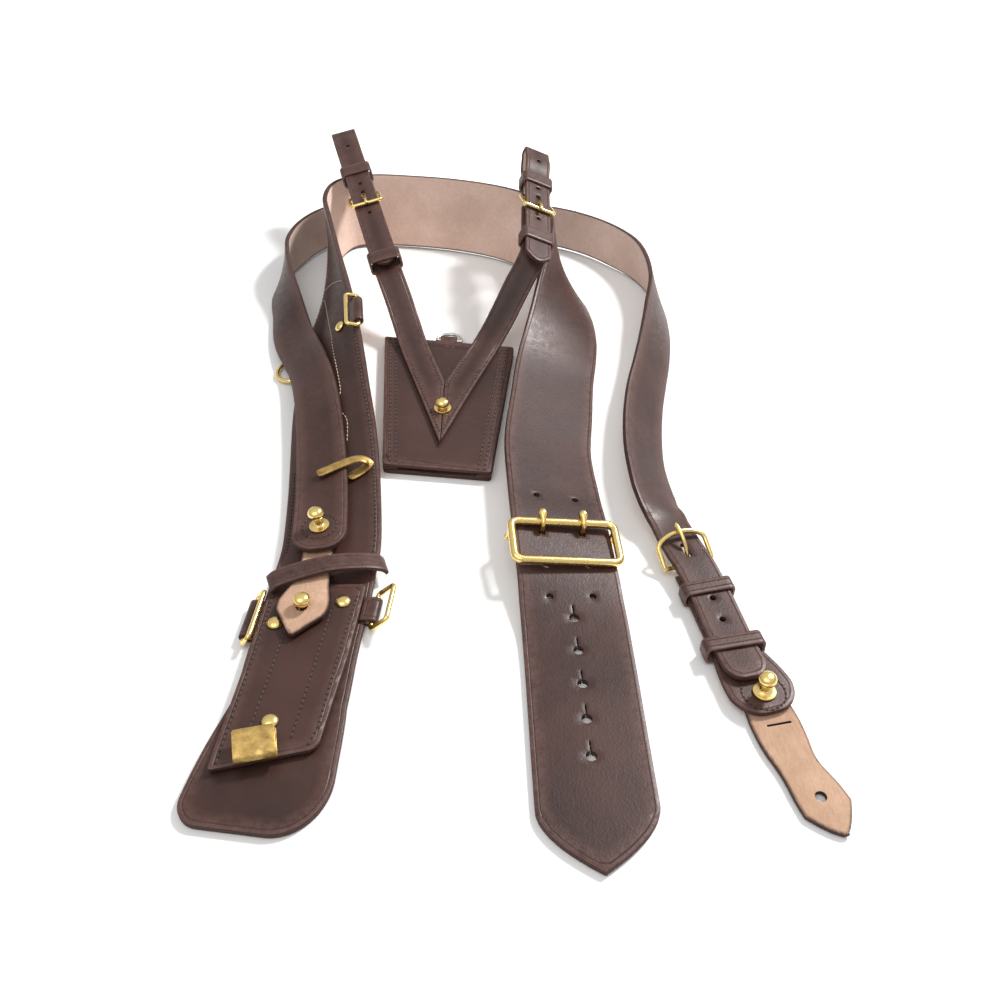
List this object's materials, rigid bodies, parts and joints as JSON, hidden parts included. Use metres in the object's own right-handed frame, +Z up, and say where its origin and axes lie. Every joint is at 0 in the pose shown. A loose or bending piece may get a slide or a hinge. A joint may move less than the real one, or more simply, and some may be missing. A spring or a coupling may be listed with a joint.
{
  "type": "leather sword belt rig",
  "caption": "Leather waist belt with a two-prong buckle, cross strap with buckle, rings, studs, and a loose sword frog on hanger straps, laid flat.",
  "frame": {"origin": "underside of the waist belt on its flat front run, on the surface it lies on", "axes": "+Y along the waist belt's front run towards the back of the loop, +Z up off the surface"},
  "size_m": [0.3561, 0.6603, 0.0932],
  "materials": {
    "leather": "dark brown bridle leather, waxed",
    "flesh": "raw flesh side, matte",
    "brass": "cast brass, lightly worn",
    "steel": "nickel-plated wire"
  },
  "bodies": {
    "belt": {"waist_belt": "leather", "main_buckle_frame": "brass", "overlay_panel": "leather", "panel_stud": "brass", "panel_rivet_left": "brass", "panel_rivet_right": "brass", "hook_plate": "brass", "flat_hook": "brass", "keeper_loop": "leather", "left_lower_loop": "leather", "right_lower_loop": "leather", "right_upper_loop": "leather", "left_upper_loop": "leather", "cross_strap": "leather", "cross_stud": "brass", "left_tongue": "flesh", "chape": "leather", "chape_stud": "brass", "tongue_root": "flesh"},
    "main_prong_left": {"main_prong_left": "brass"},
    "main_prong_right": {"main_prong_right": "brass"},
    "horseshoe_buckle": {"horseshoe_buckle_frame": "brass"},
    "horseshoe_prong": {"horseshoe_buckle_prong": "brass"},
    "left_lower_ring": {"left_lower_ring": "brass"},
    "right_lower_ring": {"right_lower_ring": "brass"},
    "right_upper_ring": {"right_upper_ring": "brass"},
    "left_upper_ring": {"left_upper_ring": "brass"},
    "upper_keeper": {"upper_keeper": "leather"},
    "lower_keeper": {"lower_keeper": "leather"},
    "tongue": {"tongue": "flesh"},
    "frog": {"frog_back": "leather", "frog_front": "leather", "frog_welt_left": "leather", "frog_welt_right": "leather", "frog_stud": "brass", "frog_ring_loop": "leather", "left_hanger_strap": "leather", "right_hanger_strap": "leather", "left_loop_strap": "leather", "right_loop_strap": "leather"},
    "frog_ring": {"frog_ring": "steel"},
    "left_buckle": {"left_buckle_frame": "brass"},
    "left_prong": {"left_buckle_prong": "brass"},
    "left_keeper_lower": {"left_keeper_lower": "leather"},
    "left_keeper_upper": {"left_keeper_upper": "leather"},
    "right_buckle": {"right_buckle_frame": "brass"},
    "right_prong": {"right_buckle_prong": "brass"},
    "right_keeper_lower": {"right_keeper_lower": "leather"},
    "right_keeper_upper": {"right_keeper_upper": "leather"}
  },
  "joints": [
    {"name": "main_prong_left_swing", "type": "hinge", "parent": "belt", "child": "main_prong_left", "pos_m": [-0.02019, 0.10881, 0.00913], "axis": [0.9822, 0.1025, -0.1574], "range_deg": [0, 12]},
    {"name": "main_prong_right_swing", "type": "hinge", "parent": "belt", "child": "main_prong_right", "pos_m": [0.00437, 0.11138, 0.00519], "axis": [0.9822, 0.1025, -0.1574], "range_deg": [0, 12]},
    {"name": "horseshoe_buckle_tilt", "type": "hinge", "parent": "belt", "child": "horseshoe_buckle", "pos_m": [0.0683, 0.09206, 0.0047], "axis": [0.9345, 0.3559, 0.0012], "range_deg": [0, 6]},
    {"name": "horseshoe_prong_swing", "type": "hinge", "parent": "horseshoe_buckle", "child": "horseshoe_prong", "pos_m": [0.0683, 0.09206, 0.0047], "axis": [0.9345, 0.3559, 0.0012], "range_deg": [0, 8]},
    {"name": "left_lower_ring_flip", "type": "hinge", "parent": "belt", "child": "left_lower_ring", "pos_m": [-0.18451, 0.04796, 0.00376], "axis": [-0.0868, -0.9962, -0.0062], "range_deg": [-3, 20]},
    {"name": "right_lower_ring_flip", "type": "hinge", "parent": "belt", "child": "right_lower_ring", "pos_m": [-0.11522, 0.05457, 0.00382], "axis": [-0.0994, -0.9949, -0.0167], "range_deg": [-10, 45]},
    {"name": "right_upper_ring_flip", "type": "hinge", "parent": "belt", "child": "right_upper_ring", "pos_m": [-0.14671, 0.30598, 0.048], "axis": [0.1208, -0.986, -0.1151], "range_deg": [-20, 10]},
    {"name": "left_upper_ring_flip", "type": "hinge", "parent": "belt", "child": "left_upper_ring", "pos_m": [-0.198, 0.294, 0.0034], "axis": [-0.1219, 0.9925, 0], "range_deg": [-4, 4]},
    {"name": "upper_keeper_slide", "type": "slide", "parent": "belt", "child": "upper_keeper", "axis": [0.2315, -0.9712, -0.0558], "range_m": [-0.004, 0.004]},
    {"name": "lower_keeper_slide", "type": "slide", "parent": "belt", "child": "lower_keeper", "axis": [0.1974, -0.9798, 0.0312], "range_m": [-0.006, 0]},
    {"name": "tongue_fold", "type": "hinge", "parent": "belt", "child": "tongue", "pos_m": [0.097, -0.01835, 0.0037], "axis": [-0.9806, -0.196, 0], "range_deg": [0, 60]},
    {"name": "frog_lift", "type": "slide", "parent": "belt", "child": "frog", "axis": [0, 0, 1], "range_m": [0, 0.15]},
    {"name": "frog_ring_flip", "type": "hinge", "parent": "frog", "child": "frog_ring", "pos_m": [-0.0835, 0.3335, 0.0041], "axis": [0.9903, -0.1392, 0], "range_deg": [-15, 80]},
    {"name": "left_buckle_tilt", "type": "hinge", "parent": "frog", "child": "left_buckle", "pos_m": [-0.15819, 0.46873, 0.05877], "axis": [-0.9547, -0.2436, -0.1708], "range_deg": [0, 6]},
    {"name": "left_prong_swing", "type": "hinge", "parent": "left_buckle", "child": "left_prong", "pos_m": [-0.15819, 0.46873, 0.05877], "axis": [-0.9547, -0.2436, -0.1708], "range_deg": [0, 14]},
    {"name": "left_keeper_lower_slide", "type": "slide", "parent": "frog", "child": "left_keeper_lower", "axis": [-0.2734, 0.9448, 0.1805], "range_m": [-0.001, 0.0015]},
    {"name": "left_keeper_upper_slide", "type": "slide", "parent": "frog", "child": "left_keeper_upper", "axis": [-0.2734, 0.9448, 0.1805], "range_m": [-0.01, 0]},
    {"name": "right_buckle_tilt", "type": "hinge", "parent": "frog", "child": "right_buckle", "pos_m": [-0.01603, 0.42865, 0.07333], "axis": [-0.9145, -0.0498, 0.4015], "range_deg": [0, 6]},
    {"name": "right_prong_swing", "type": "hinge", "parent": "right_buckle", "child": "right_prong", "pos_m": [-0.01603, 0.42865, 0.07333], "axis": [-0.9145, -0.0498, 0.4015], "range_deg": [0, 14]},
    {"name": "right_keeper_lower_slide", "type": "slide", "parent": "frog", "child": "right_keeper_lower", "axis": [0.0167, 0.9869, 0.1606], "range_m": [-0.001, 0.004]},
    {"name": "right_keeper_upper_slide", "type": "slide", "parent": "frog", "child": "right_keeper_upper", "axis": [0.0167, 0.9869, 0.1606], "range_m": [-0.01, 0.008]}
  ]
}
